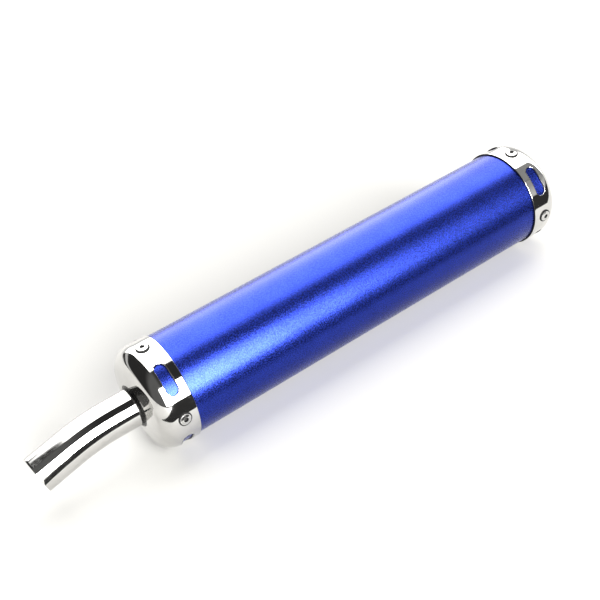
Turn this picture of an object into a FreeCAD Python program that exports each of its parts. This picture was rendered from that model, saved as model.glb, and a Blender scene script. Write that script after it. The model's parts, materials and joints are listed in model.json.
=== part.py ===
import FreeCAD, Part
import math
import os

# Small round silencer of a two-stroke kart or pocket bike engine, in millimetres.
# Origin: middle of the can, on its axis. +X runs along the can to the outlet, +Z is up.
# The inlet pipe leaves the can at -X and bends down, in the XZ plane.

# Can: plain aluminium tube
CAN_RADIUS = 30.0
CAN_WALL = 1.0
CAN_LENGTH = 273.0

# End caps: one pressed steel cup, used at both ends
CAP_SHEET = 0.9
CAP_GAP = 0.1
CAP_OVERLAP = 12.2
CAP_BAND = 11.0
CAP_KNUCKLE = 10.6
CAP_FACE_SLOPE = 12.0
CAP_EDGE_ROUND = 0.25
SLOT_WIDTH = 6.8
SLOT_LENGTH = 19.3
RING_OFFSET = 8.3
INLET_CAP_TURN = 0.0
OUTLET_CAP_TURN = 9.5

# Pipes: one tube size for inlet and outlet
PIPE_RADIUS = 11.0
PIPE_BORE = 10.0
PIPE_FIT = 0.05
PIPE_INNER_END = 118.0
INLET_STRAIGHT = 13.0
BEND_RADIUS = 120.0
BEND_ANGLE = 13.3
INLET_END_LENGTH = 21.0
OUTLET_PROTRUSION = 8.0
WELD_LEG = 1.7

# Perforated core and its packing
CORE_WALL = 1.0
CORE_FIT = 0.1
CORE_LENGTH = 252.0
CORE_HOLE_RADIUS = 1.75
CORE_HOLES_AROUND = 8
CORE_HOLE_ROWS = 24
CORE_HOLE_PITCH = 8.0
PACKING_LENGTH = 220.0
PACKING_GAP = 0.1

# Blind rivets, four at each end
RIVET_COUNT = 4
RIVET_SHANK = 2.0
RIVET_HOLE = 2.05
RIVET_HEAD_RADIUS = 4.0
RIVET_HEAD_HEIGHT = 1.3
RIVET_HEAD_EDGE = 0.35
RIVET_HEAD_SINK = 0.6
RIVET_BORE = 1.1
RIVET_BULGE_RADIUS = 2.75
RIVET_BULGE_LENGTH = 2.6
RIVET_BULGE_ROUND = 0.8
RIVET_JOIN = 0.5
MANDREL_RADIUS = 1.05
MANDREL_BALL_RADIUS = 1.8
MANDREL_RECESS = 1.0

# How far a cutter runs past the surfaces that it cuts
CUTTER_MARGIN = 1.0

# Worked out from the driving dimensions
CAN_BORE = CAN_RADIUS - CAN_WALL
CAP_RADIUS = CAN_RADIUS + CAP_GAP + CAP_SHEET
CAP_EDGE_X = CAN_LENGTH / 2 - CAP_OVERLAP
RING_X = CAP_EDGE_X + RING_OFFSET
KNUCKLE_TURN = math.radians(90 - CAP_FACE_SLOPE)
CROWN_RADIUS = CAP_KNUCKLE + (CAP_RADIUS - CAP_KNUCKLE) / math.cos(KNUCKLE_TURN)
CROWN_CENTRE_X = CAP_EDGE_X + CAP_BAND - (CROWN_RADIUS - CAP_KNUCKLE) * math.sin(KNUCKLE_TURN)
CAP_FACE_X = CROWN_CENTRE_X + math.sqrt(CROWN_RADIUS ** 2 - PIPE_RADIUS ** 2)
CORE_BORE = PIPE_RADIUS + CORE_FIT
CORE_RADIUS = CORE_BORE + CORE_WALL
RIVET_STEP = 360.0 / RIVET_COUNT

AXIS_X = FreeCAD.Vector(1, 0, 0)
ORIGIN = FreeCAD.Vector(0, 0, 0)


def point(x, z, y=0.0):
    """A point of the XZ plane, where every turned outline is drawn."""
    return FreeCAD.Vector(x, y, z)


def line(start, end):
    return Part.LineSegment(start, end).toShape()


def arc(start, middle, end):
    return Part.Arc(start, middle, end).toShape()


def turned(edges):
    """Solid made by turning a closed outline about the can's axis."""
    face = Part.Face(Part.Wire(edges))
    return face.revolve(ORIGIN, AXIS_X, 360)


def rod(radius, x_start, x_end):
    """Cylinder on the can's axis between two X positions."""
    return Part.makeCylinder(radius, x_end - x_start, point(x_start, 0), AXIS_X)


def tube(outer, inner, x_start, x_end):
    return rod(outer, x_start, x_end).cut(rod(inner, x_start, x_end))


def about_axis(shape, degrees):
    """The shape turned about the can's axis."""
    turned_shape = shape.copy()
    turned_shape.rotate(ORIGIN, AXIS_X, degrees)
    return turned_shape


def to_inlet(shape):
    """The shape moved from the outlet end to the inlet end, as its mirror image."""
    return shape.mirror(ORIGIN, AXIS_X)


def radial_drill(radius, x, degrees):
    """Cylinder that drills outwards through the wall, below the axis when degrees is 0."""
    drill = Part.makeCylinder(radius, CAP_RADIUS + CUTTER_MARGIN, point(x, 0), FreeCAD.Vector(0, 0, -1))
    return about_axis(drill, degrees)


def rivet_angles(cap_turn):
    return [cap_turn + number * RIVET_STEP for number in range(RIVET_COUNT)]


def outer_can():
    can = tube(CAN_RADIUS, CAN_BORE, -CAN_LENGTH / 2, CAN_LENGTH / 2)
    for x, cap_turn in ((-RING_X, INLET_CAP_TURN), (RING_X, OUTLET_CAP_TURN)):
        for angle in rivet_angles(cap_turn):
            can = can.cut(radial_drill(RIVET_HOLE, x, angle))
    return can


def cap_outline(offset):
    """Points of the cap's wall, from the band to the pipe hole, set inwards by offset."""
    hole = PIPE_RADIUS + PIPE_FIT
    knuckle_x = CAP_EDGE_X + CAP_BAND
    knuckle_r = CAP_RADIUS - CAP_KNUCKLE
    knuckle = CAP_KNUCKLE - offset
    crown = CROWN_RADIUS - offset

    def on_knuckle(angle):
        return point(knuckle_x + knuckle * math.sin(angle), knuckle_r + knuckle * math.cos(angle))

    def on_crown(radius):
        return point(CROWN_CENTRE_X + math.sqrt(crown ** 2 - radius ** 2), radius)

    knuckle_end = on_knuckle(KNUCKLE_TURN)
    return {
        "band": point(knuckle_x, CAP_RADIUS - offset),
        "knuckle_middle": on_knuckle(KNUCKLE_TURN / 2),
        "knuckle_end": knuckle_end,
        "crown_middle": on_crown((knuckle_end.z + hole) / 2),
        "crown_end": on_crown(hole),
    }


def slot_cutter(x, degrees):
    """Round-ended slot across the band, cut outwards through the sheet."""
    half = SLOT_LENGTH / 2 - SLOT_WIDTH / 2
    side = SLOT_WIDTH / 2
    start, end = CAN_BORE - CUTTER_MARGIN, CAP_RADIUS + CUTTER_MARGIN
    z = -start
    edges = [
        line(point(x - side, z, -half), point(x - side, z, half)),
        arc(point(x - side, z, half), point(x, z, half + side), point(x + side, z, half)),
        line(point(x + side, z, half), point(x + side, z, -half)),
        arc(point(x + side, z, -half), point(x, z, -half - side), point(x - side, z, -half)),
    ]
    face = Part.Face(Part.Wire(edges))
    cutter = face.extrude(FreeCAD.Vector(0, 0, start - end))
    return about_axis(cutter, degrees)


def end_cap(cap_turn):
    """Pressed cup at the outlet end: band, rounded shoulder and slightly domed face."""
    outer = cap_outline(0.0)
    inner = cap_outline(CAP_SHEET)
    round_x = CAP_EDGE_X + CAP_EDGE_ROUND
    round_mid = CAP_EDGE_ROUND * (1 - math.sqrt(0.5))
    rim_outer = point(round_x, CAP_RADIUS)
    rim_middle = point(CAP_EDGE_X + round_mid, CAP_RADIUS - round_mid)
    rim_lower = point(CAP_EDGE_X, CAP_RADIUS - CAP_EDGE_ROUND)
    rim_inner = point(CAP_EDGE_X, CAP_RADIUS - CAP_SHEET)
    cap = turned([
        arc(rim_lower, rim_middle, rim_outer),
        line(rim_outer, outer["band"]),
        arc(outer["band"], outer["knuckle_middle"], outer["knuckle_end"]),
        arc(outer["knuckle_end"], outer["crown_middle"], outer["crown_end"]),
        line(outer["crown_end"], inner["crown_end"]),
        arc(inner["crown_end"], inner["crown_middle"], inner["knuckle_end"]),
        arc(inner["knuckle_end"], inner["knuckle_middle"], inner["band"]),
        line(inner["band"], rim_inner),
        line(rim_inner, rim_lower),
    ])
    for angle in rivet_angles(cap_turn):
        cap = cap.cut(radial_drill(RIVET_HOLE, RING_X, angle))
        cap = cap.cut(slot_cutter(RING_X, angle + RIVET_STEP / 2))
    return cap


def weld_bead():
    """Hollow-faced fillet of weld in the corner between the outlet pipe and the cap."""
    face_r = PIPE_RADIUS + WELD_LEG
    face_x = CROWN_CENTRE_X + math.sqrt(CROWN_RADIUS ** 2 - face_r ** 2)
    hole = PIPE_RADIUS + PIPE_FIT
    hole_x = CROWN_CENTRE_X + math.sqrt(CROWN_RADIUS ** 2 - hole ** 2)
    corner = point(hole_x, PIPE_RADIUS)
    pipe_side = point(hole_x + WELD_LEG, PIPE_RADIUS)
    cap_side = point(face_x, face_r)
    sag = WELD_LEG * (1 - math.sqrt(0.5))
    hollow = point(hole_x + sag, PIPE_RADIUS + sag)
    root_r = (face_r + hole) / 2
    root = point(CROWN_CENTRE_X + math.sqrt(CROWN_RADIUS ** 2 - root_r ** 2), root_r)
    cap_corner = point(hole_x, hole)
    return turned([
        line(corner, pipe_side),
        arc(pipe_side, hollow, cap_side),
        arc(cap_side, root, cap_corner),
        line(cap_corner, corner),
    ])


def inlet_pipe():
    """Tube that leaves the can straight, bends down and ends in a straight socket."""
    bend_x = -(CAP_FACE_X + INLET_STRAIGHT)
    angle = math.radians(BEND_ANGLE)
    along = FreeCAD.Vector(-math.cos(angle), 0, -math.sin(angle))
    bend_end = point(bend_x - BEND_RADIUS * math.sin(angle), -BEND_RADIUS * (1 - math.cos(angle)))
    bend_centre = point(bend_x, -BEND_RADIUS)

    def stretch(radius):
        inside = rod(radius, bend_x, -PIPE_INNER_END)
        disc = Part.Face(Part.Wire(Part.makeCircle(radius, point(bend_x, 0), AXIS_X)))
        bend = disc.revolve(bend_centre, FreeCAD.Vector(0, -1, 0), BEND_ANGLE)
        end = Part.makeCylinder(radius, INLET_END_LENGTH, bend_end, along)
        return inside.fuse([bend, end]).removeSplitter()

    return stretch(PIPE_RADIUS).cut(stretch(PIPE_BORE))


def outlet_pipe():
    return tube(PIPE_RADIUS, PIPE_BORE, PIPE_INNER_END, CAP_FACE_X + OUTLET_PROTRUSION)


def core_tube():
    """Perforated tube that joins the two pipes inside the can."""
    core = tube(CORE_RADIUS, CORE_BORE, -CORE_LENGTH / 2, CORE_LENGTH / 2)
    reach = CORE_RADIUS + CUTTER_MARGIN
    drills = []
    first_x = -CORE_HOLE_PITCH * (CORE_HOLE_ROWS - 1) / 2
    step = 360.0 / CORE_HOLES_AROUND
    for row in range(CORE_HOLE_ROWS):
        x = first_x + row * CORE_HOLE_PITCH
        stagger = step / 2 * (row % 2)
        for number in range(CORE_HOLES_AROUND // 2):
            drill = Part.makeCylinder(CORE_HOLE_RADIUS, 2 * reach, point(x, -reach), FreeCAD.Vector(0, 0, 1))
            drills.append(about_axis(drill, stagger + number * step))
    return core.cut(drills)


def packing():
    """Sleeve of glass wool round the perforated core."""
    half = PACKING_LENGTH / 2
    return tube(CAN_BORE - PACKING_GAP, CORE_RADIUS + PACKING_GAP, -half, half)


def turned_upright(edges):
    """Solid made by turning an outline about the Z axis."""
    face = Part.Face(Part.Wire(edges))
    return face.revolve(ORIGIN, FreeCAD.Vector(0, 0, 1), 360)


def to_wall(shape, x, degrees):
    """Places a rivet piece, drawn upright with the band's surface at Z 0, on the can."""
    placed = shape.copy()
    placed.rotate(ORIGIN, AXIS_X, 180)
    placed.translate(point(x, -CAP_RADIUS))
    return about_axis(placed, degrees)


def rivet_body():
    """Domed head, shank through both sheets and the bulge of the blind side."""
    wall = CAP_RADIUS - CAN_BORE
    crown_height = RIVET_HEAD_HEIGHT - RIVET_HEAD_EDGE
    dome = (RIVET_HEAD_RADIUS ** 2 + crown_height ** 2) / (2 * crown_height)
    dome_centre = RIVET_HEAD_HEIGHT - dome

    def on_dome(radius):
        return point(radius, dome_centre + math.sqrt(dome ** 2 - radius ** 2))

    head = turned_upright([
        line(point(RIVET_BORE, -RIVET_HEAD_SINK), point(RIVET_HEAD_RADIUS, -RIVET_HEAD_SINK)),
        line(point(RIVET_HEAD_RADIUS, -RIVET_HEAD_SINK), on_dome(RIVET_HEAD_RADIUS)),
        arc(
            on_dome(RIVET_HEAD_RADIUS),
            on_dome((RIVET_HEAD_RADIUS + RIVET_BORE) / 2),
            on_dome(RIVET_BORE),
        ),
        line(on_dome(RIVET_BORE), point(RIVET_BORE, -RIVET_HEAD_SINK)),
    ])
    bulge_z = -wall - RIVET_BULGE_LENGTH
    shank = Part.makeCylinder(RIVET_SHANK, wall + 2 * RIVET_JOIN, point(0, -wall - RIVET_JOIN))
    bulge = Part.makeCylinder(RIVET_BULGE_RADIUS, RIVET_BULGE_LENGTH + RIVET_JOIN, point(0, bulge_z))
    bulge = bulge.makeFillet(RIVET_BULGE_ROUND, [bulge.Edges[2]])
    bore = Part.makeCylinder(RIVET_BORE, RIVET_JOIN - bulge_z + 2 * CUTTER_MARGIN, point(0, bulge_z - CUTTER_MARGIN))
    return head, shank.cut(bore), bulge.cut(bore)


def mandrel():
    """Broken stem left in the rivet, with the round head that opened the blind side."""
    wall = CAP_RADIUS - CAN_BORE
    ball_z = -wall - RIVET_BULGE_LENGTH
    stem_top = RIVET_HEAD_HEIGHT - MANDREL_RECESS
    below = MANDREL_BALL_RADIUS + CUTTER_MARGIN
    stem = Part.makeCylinder(MANDREL_RADIUS, stem_top - ball_z, point(0, ball_z))
    ball = Part.makeSphere(MANDREL_BALL_RADIUS, point(0, ball_z))
    lower_half = Part.makeCylinder(below, below, point(0, ball_z - below))
    return stem.fuse(ball.common(lower_half)).removeSplitter()


def write(shape, node):
    solids = shape.Solids
    if len(solids) != 1 or not shape.isValid():
        raise ValueError(f"{node}: {len(solids)} solids, valid {shape.isValid()}")
    solids[0].exportStep(f"parts/{node}.step")
    box = shape.BoundBox
    print(f"{node:22s} volume {shape.Volume / 1000:8.2f} cm3  x {box.XMin:8.2f} {box.XMax:8.2f}")


def main():
    os.makedirs("parts", exist_ok=True)
    write(outer_can(), "outer_can")
    write(to_inlet(end_cap(INLET_CAP_TURN)), "inlet_cap")
    write(end_cap(OUTLET_CAP_TURN), "outlet_cap")
    write(inlet_pipe(), "inlet_pipe")
    write(outlet_pipe(), "outlet_pipe")
    write(to_inlet(weld_bead()), "inlet_weld")
    write(weld_bead(), "outlet_weld")
    write(core_tube(), "core_tube")
    write(packing(), "packing")

    head, shank, bulge = rivet_body()
    outside = tube(CAP_RADIUS + RIVET_HEAD_HEIGHT + CUTTER_MARGIN, CAP_RADIUS, -CAN_LENGTH, CAN_LENGTH)
    inside = rod(CAN_BORE, -CAN_LENGTH, CAN_LENGTH)
    pin = mandrel()
    for end, x, cap_turn in (("inlet", -RING_X, INLET_CAP_TURN), ("outlet", RING_X, OUTLET_CAP_TURN)):
        for number, angle in enumerate(rivet_angles(cap_turn), 1):
            placed_head = to_wall(head, x, angle).common(outside)
            placed_bulge = to_wall(bulge, x, angle).common(inside)
            rivet = to_wall(shank, x, angle).fuse([placed_head, placed_bulge]).removeSplitter()
            write(rivet, f"{end}_rivet_{number}")
            write(to_wall(pin, x, angle), f"{end}_rivet_mandrel_{number}")


main()
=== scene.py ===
import json
import math

import bmesh
import bpy
from bpy.props import FloatProperty, FloatVectorProperty, IntProperty, PointerProperty
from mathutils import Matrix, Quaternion, Vector


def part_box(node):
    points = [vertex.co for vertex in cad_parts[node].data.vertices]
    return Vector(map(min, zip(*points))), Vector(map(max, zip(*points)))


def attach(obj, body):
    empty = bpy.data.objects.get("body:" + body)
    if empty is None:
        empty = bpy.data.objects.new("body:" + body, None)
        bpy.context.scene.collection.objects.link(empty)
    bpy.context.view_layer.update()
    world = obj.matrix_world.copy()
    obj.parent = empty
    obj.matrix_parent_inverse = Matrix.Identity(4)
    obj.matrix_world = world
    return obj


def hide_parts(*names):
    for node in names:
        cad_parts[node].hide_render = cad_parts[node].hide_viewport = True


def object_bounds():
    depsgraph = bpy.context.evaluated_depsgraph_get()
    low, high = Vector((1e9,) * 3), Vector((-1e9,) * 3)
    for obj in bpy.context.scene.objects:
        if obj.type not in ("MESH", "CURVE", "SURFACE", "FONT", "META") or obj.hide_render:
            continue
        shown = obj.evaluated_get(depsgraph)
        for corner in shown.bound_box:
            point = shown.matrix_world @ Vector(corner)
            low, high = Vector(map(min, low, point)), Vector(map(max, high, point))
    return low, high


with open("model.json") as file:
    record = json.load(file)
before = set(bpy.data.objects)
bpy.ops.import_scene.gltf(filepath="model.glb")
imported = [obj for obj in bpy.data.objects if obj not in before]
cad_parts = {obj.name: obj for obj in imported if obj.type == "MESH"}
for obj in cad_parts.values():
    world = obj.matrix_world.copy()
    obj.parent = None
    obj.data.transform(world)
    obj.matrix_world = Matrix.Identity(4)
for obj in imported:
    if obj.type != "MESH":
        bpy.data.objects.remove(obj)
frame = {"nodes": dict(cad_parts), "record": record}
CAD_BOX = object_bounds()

bl_info = {
    "name": "Round silencer",
    "version": (1, 0, 0),
    "blender": (4, 5, 0),
    "location": "3D View > Sidebar > Silencer",
    "description": "Visual model of a small two-stroke silencer, built round its CAD frame",
    "category": "Object",
}

BODY = "root"
ENDS = ("inlet", "outlet")
SIDE = {"inlet": -1.0, "outlet": 1.0}
MOUNTS = {mount["name"]: mount for mount in frame["record"]["mounts"]}


def high(node):
    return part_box(node)[1]


def low(node):
    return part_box(node)[0]


def mm(value):
    """Millimetres as the metres that the frame is in."""
    return value * 0.001


# Attribute that keeps a turned wall's place from before its centre line is bent
WALL_PLACE = "wall_place"
MERGE_DISTANCE = 1e-6

# Steps round each kind of turned piece and each drilled hole
CAN_SIDES = 256
CAP_SIDES = 360
PIPE_SIDES = 192
WELD_SIDES = 288
RIVET_SIDES = 64
DRILL_SIDES = 48

# How far a drill starts below the surface that it cuts, and ends above it
CAN_DRILL_DEPTH = mm(3.0)
CAP_DRILL_DEPTH = mm(2.5)
DRILL_MARGIN = mm(1.0)

# A blind rivet's far side
BLIND_LENGTH = mm(2.6)

# Near black painted as shade in the rivets' bores and round the foot of their heads
SHADE_BLACK = (0.01, 0.01, 0.01)
# Dark grey painted as shade on the caps' open edges
EDGE_SHADE_DARK = (0.035, 0.034, 0.033)


# Settings

class CanSettings(bpy.types.PropertyGroup):
    radius: FloatProperty(
        name="Radius", description="Outside radius of the can", default=high("outer_can").z, unit="LENGTH"
    )
    wall: FloatProperty(
        name="Wall", description="Thickness of the can's wall", default=mm(1.0), unit="LENGTH"
    )
    half_length: FloatProperty(
        name="Half length", description="From the middle to the can's cut end", default=high("outer_can").x,
        unit="LENGTH",
    )
    colour: FloatVectorProperty(
        name="Blue", description="Dye of the anodised surface", default=(0.021, 0.039, 0.30),
        subtype="COLOR", min=0.0, max=1.0,
    )
    # Darker blue painted where the blasted grain is lower, as shade in its pits, and in random clouds
    tone_and_pit_shade: FloatVectorProperty(
        name="Deep blue", description="Dye where the blasted surface is lower",
        default=(0.013, 0.025, 0.195), subtype="COLOR", min=0.0, max=1.0,
    )
    grain: FloatProperty(
        name="Grain", description="Size of the blasted grain", default=mm(0.65), unit="LENGTH", precision=5
    )


class CapSettings(bpy.types.PropertyGroup):
    radius: FloatProperty(
        name="Radius", description="Outside radius of the band", default=high("outlet_cap").z, unit="LENGTH"
    )
    sheet: FloatProperty(
        name="Sheet", description="Thickness of the pressed sheet", default=mm(0.9), unit="LENGTH"
    )
    edge: FloatProperty(
        name="Open edge", description="From the can's middle to the cap's open edge",
        default=low("outlet_cap").x, unit="LENGTH",
    )
    band: FloatProperty(
        name="Band", description="Length of the straight band", default=mm(11.0), unit="LENGTH"
    )
    knuckle: FloatProperty(
        name="Shoulder radius", description="Radius of the rounded shoulder", default=mm(10.6), unit="LENGTH"
    )
    face_slope: FloatProperty(
        name="Face slope", description="Angle of the face where it meets the shoulder",
        default=math.radians(12.0), subtype="ANGLE",
    )
    slot_width: FloatProperty(
        name="Slot width", description="Width of a slot, along the can", default=mm(6.8), unit="LENGTH"
    )
    slot_length: FloatProperty(
        name="Slot length", description="Length of a slot, across the can", default=mm(19.3), unit="LENGTH"
    )
    slots: IntProperty(name="Slots", description="Slots in each cap", default=4, min=1)
    turn: FloatProperty(
        name="Outlet cap turn", description="Turn of the outlet cap about the can's axis",
        default=math.radians(9.5), subtype="ANGLE",
    )
    colour: FloatVectorProperty(
        name="Chrome", description="Colour of the chrome plate", default=(0.62, 0.615, 0.60),
        subtype="COLOR", min=0.0, max=1.0,
    )


class PipeSettings(bpy.types.PropertyGroup):
    radius: FloatProperty(
        name="Radius", description="Outside radius of both pipes", default=high("outlet_pipe").z,
        unit="LENGTH",
    )
    bore: FloatProperty(
        name="Bore", description="Inside radius of both pipes",
        default=mm(MOUNTS["outlet_bore"]["dims"]["r_mm"]), unit="LENGTH",
    )
    inner_end: FloatProperty(
        name="Inner end", description="From the can's middle to the pipe's end inside it",
        default=low("outlet_pipe").x, unit="LENGTH",
    )
    outlet_mouth: FloatProperty(
        name="Outlet mouth", description="From the can's middle to the outlet's open end",
        default=high("outlet_pipe").x, unit="LENGTH",
    )
    bend_radius: FloatProperty(
        name="Bend radius", description="Radius of the bend's centre line", default=mm(120.0), unit="LENGTH"
    )
    bend_angle: FloatProperty(
        name="Bend angle", description="Turn of the inlet pipe's bend", default=math.radians(13.3),
        subtype="ANGLE",
    )
    end_length: FloatProperty(
        name="Socket length", description="Straight length beyond the bend",
        default=mm(MOUNTS["inlet_bore"]["dims"]["length_mm"]), unit="LENGTH",
    )
    weld_leg: FloatProperty(
        name="Weld leg", description="Reach of the weld along the pipe and the cap", default=mm(1.7),
        unit="LENGTH",
    )
    ripples: IntProperty(name="Weld ripples", description="Ripples round one weld", default=38, min=1)


class RivetSettings(bpy.types.PropertyGroup):
    count: IntProperty(name="Rivets", description="Rivets at each end", default=4, min=1)
    ring: FloatProperty(
        name="Ring", description="From the can's middle to the rivets' centres",
        default=(low("outlet_rivet_1").x + high("outlet_rivet_1").x) / 2, unit="LENGTH",
    )
    hole: FloatProperty(
        name="Hole radius", description="Radius of the holes in the can and the cap", default=mm(2.05),
        unit="LENGTH",
    )
    head_radius: FloatProperty(
        name="Head radius", description="Radius of the domed head", default=high("inlet_rivet_3").y,
        unit="LENGTH",
    )
    head_height: FloatProperty(
        name="Head height", description="Height of the dome above the band", default=mm(1.3), unit="LENGTH"
    )
    rim: FloatProperty(
        name="Head rim", description="Height of the head's upright edge", default=mm(0.35), unit="LENGTH"
    )
    bore: FloatProperty(
        name="Bore", description="Radius of the hole that the mandrel was pulled through", default=mm(1.1),
        unit="LENGTH",
    )
    colour: FloatVectorProperty(
        name="Steel", description="Colour of the rivets", default=(0.60, 0.595, 0.58), subtype="COLOR",
        min=0.0, max=1.0,
    )


class InsideSettings(bpy.types.PropertyGroup):
    mat_length: FloatProperty(
        name="Mat length", description="Length of the wool mat, along the can",
        default=high("packing").x - low("packing").x, unit="LENGTH",
    )
    mat_outside: FloatProperty(
        name="Mat outside", description="Outside radius of the rolled mat", default=high("packing").z,
        unit="LENGTH",
    )
    mat_inside: FloatProperty(
        name="Mat inside", description="Inside radius of the rolled mat", default=mm(12.25), unit="LENGTH"
    )
    turns: FloatProperty(name="Turns", description="Turns of the mat round the core", default=3.6, min=1.0)
    wool: FloatVectorProperty(
        name="Wool", description="Colour of the glass wool", default=(0.78, 0.70, 0.46), subtype="COLOR",
        min=0.0, max=1.0,
    )


class StageSettings(bpy.types.PropertyGroup):
    target: FloatVectorProperty(
        name="Aim", description="Point that the camera looks at", default=(-0.03189, 0.00372, 0.00487),
        subtype="XYZ",
    )
    azimuth: FloatProperty(
        name="Azimuth", description="Camera's place round the can", default=math.radians(-28.27),
        subtype="ANGLE",
    )
    elevation: FloatProperty(
        name="Elevation", description="Camera's height above level", default=math.radians(33.93),
        subtype="ANGLE",
    )
    roll: FloatProperty(
        name="Roll", description="Camera's lean to the right", default=math.radians(12.593), subtype="ANGLE"
    )
    distance: FloatProperty(
        name="Distance", description="From the camera to its aim", default=0.61214, unit="LENGTH"
    )
    lens: FloatProperty(name="Lens", description="Focal length in millimetres", default=62.94, min=1.0)
    floor_colour: FloatVectorProperty(
        name="Floor", description="Colour of the floor", default=(0.265, 0.263, 0.255), subtype="COLOR",
        min=0.0, max=1.0,
    )


# Node wiring

class Wiring:
    """A node tree being wired: makes nodes, joins sockets and sets values."""

    def __init__(self, tree):
        self.tree = tree

    def feed(self, socket, value):
        if isinstance(value, bpy.types.NodeSocket):
            self.tree.links.new(value, socket)
        else:
            socket.default_value = value

    def node(self, kind, inputs=None, **settings):
        made = self.tree.nodes.new(kind)
        for name, value in settings.items():
            setattr(made, name, value)
        for name, value in (inputs or {}).items():
            self.feed(made.inputs[name], value)
        return made

    def math(self, operation, *values):
        made = self.node("ShaderNodeMath", operation=operation)
        for socket, value in zip(made.inputs, values):
            self.feed(socket, value)
        return made.outputs[0]

    def total(self, first, *others):
        for other in others:
            first = self.math("ADD", first, other)
        return first

    def product(self, first, *others):
        for other in others:
            first = self.math("MULTIPLY", first, other)
        return first

    def point(self, x, y, z):
        return self.node("ShaderNodeCombineXYZ", {"X": x, "Y": y, "Z": z}).outputs[0]

    def split(self, vector):
        return self.node("ShaderNodeSeparateXYZ", {0: vector}).outputs

    def ramp(self, value, start, end, low=0.0, high=1.0, shape="SMOOTHSTEP"):
        """value between start and end, mapped to low and high."""
        return self.node(
            "ShaderNodeMapRange",
            {"Value": value, "From Min": start, "From Max": end, "To Min": low, "To Max": high},
            interpolation_type=shape,
        ).outputs[0]


class GeometryTree(Wiring):
    """A geometry node tree with named inputs, ending in Realize Instances and Set Material."""

    def __init__(self, name, **inputs):
        tree = bpy.data.node_groups.new(name, "GeometryNodeTree")
        super().__init__(tree)
        tree.interface.new_socket("Geometry", in_out="OUTPUT", socket_type="NodeSocketGeometry")
        tree.interface.new_socket("Geometry", in_out="INPUT", socket_type="NodeSocketGeometry")
        for label, kind in inputs.items():
            tree.interface.new_socket(
                label.replace("_", " "), in_out="INPUT", socket_type="NodeSocket" + kind
            )
        tree.interface.new_socket("Material", in_out="INPUT", socket_type="NodeSocketMaterial")
        self.given = self.node("NodeGroupInput").outputs

    def grid(self, geometry, columns):
        """Grid with a row for each point of the outline, that point's place, and the column's number."""
        size = self.node("GeometryNodeAttributeDomainSize", {0: geometry}, component="MESH")
        across = self.math("ADD", columns, 1.0)
        grid = self.node(
            "GeometryNodeMeshGrid", {"Vertices X": size.outputs["Point Count"], "Vertices Y": across}
        )
        index = self.node("GeometryNodeInputIndex").outputs[0]
        row = self.math("FLOOR", self.math("DIVIDE", self.math("ADD", index, 0.5), across))
        column = self.math("SUBTRACT", index, self.product(row, across))
        outline = self.node(
            "GeometryNodeSampleIndex",
            {
                "Geometry": geometry,
                "Value": self.node("GeometryNodeInputPosition").outputs[0],
                "Index": row,
            },
            data_type="FLOAT_VECTOR", domain="POINT",
        )
        return grid.outputs["Mesh"], self.split(outline.outputs[0]), column

    def store(self, geometry, name, vector):
        return self.node(
            "GeometryNodeStoreNamedAttribute", {"Geometry": geometry, "Name": name, "Value": vector},
            data_type="FLOAT_VECTOR", domain="POINT",
        ).outputs[0]

    def moved(self, geometry, position):
        return self.node("GeometryNodeSetPosition", {"Geometry": geometry, "Position": position}).outputs[0]

    def merged(self, geometry):
        return self.node(
            "GeometryNodeMergeByDistance", {"Geometry": geometry, "Distance": MERGE_DISTANCE}
        ).outputs[0]

    def finish(self, geometry):
        real = self.node("GeometryNodeRealizeInstances", {"Geometry": geometry}).outputs[0]
        painted = self.node(
            "GeometryNodeSetMaterial", {"Geometry": real, "Material": self.given["Material"]}
        ).outputs[0]
        self.feed(self.node("NodeGroupOutput").inputs[0], painted)
        return self.tree


def turned_wall_tree():
    """Turns an outline of (distance along, radius, ripple) points round a straight or bent centre line."""
    tree = GeometryTree(
        "Turned wall", Segments="Int", Straight="Float", Bend_Radius="Float", Bend_Angle="Float",
        Side="Float", Ripple_Depth="Float", Ripple_Count="Int",
    )
    given = tree.given
    grid, outline, column = tree.grid(given["Geometry"], given["Segments"])
    turn = tree.math("DIVIDE", tree.product(column, math.tau), given["Segments"])
    round_place = tree.point(tree.math("COSINE", turn), tree.math("SINE", turn), given["Side"])
    unevenness = tree.node("ShaderNodeTexNoise", {"Vector": round_place, "Scale": 2.5}).outputs[0]
    wave = tree.math(
        "SINE", tree.total(tree.product(turn, given["Ripple Count"]), tree.product(unevenness, 9.0))
    )
    depth = tree.product(outline[2], given["Ripple Depth"], tree.ramp(wave, -1.0, 1.0, shape="LINEAR"))
    along = tree.math("SUBTRACT", outline[0], depth)
    radius = tree.math("SUBTRACT", outline[1], depth)

    past = tree.math("SUBTRACT", along, given["Straight"])
    into_bend = tree.math("MAXIMUM", tree.math("DIVIDE", past, given["Bend Radius"]), 0.0)
    bent = tree.math("MINIMUM", into_bend, given["Bend Angle"])
    end = tree.math(
        "MAXIMUM", tree.math("SUBTRACT", past, tree.product(given["Bend Radius"], given["Bend Angle"])), 0.0
    )
    sine, cosine = tree.math("SINE", bent), tree.math("COSINE", bent)
    up = tree.product(radius, tree.math("COSINE", turn))
    sideways = tree.product(radius, tree.math("SINE", turn))
    forward = tree.total(
        tree.math("MINIMUM", along, given["Straight"]),
        tree.product(given["Bend Radius"], sine),
        tree.product(end, cosine),
        tree.product(up, sine),
    )
    drop = tree.total(
        tree.product(given["Bend Radius"], tree.math("SUBTRACT", 1.0, cosine)), tree.product(end, sine)
    )
    height = tree.math("SUBTRACT", tree.product(up, cosine), drop)

    wall = tree.store(grid, WALL_PLACE, tree.point(along, sideways, up))
    wall = tree.moved(wall, tree.point(tree.product(forward, given["Side"]), sideways, height))
    return tree.finish(tree.merged(wall))


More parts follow.
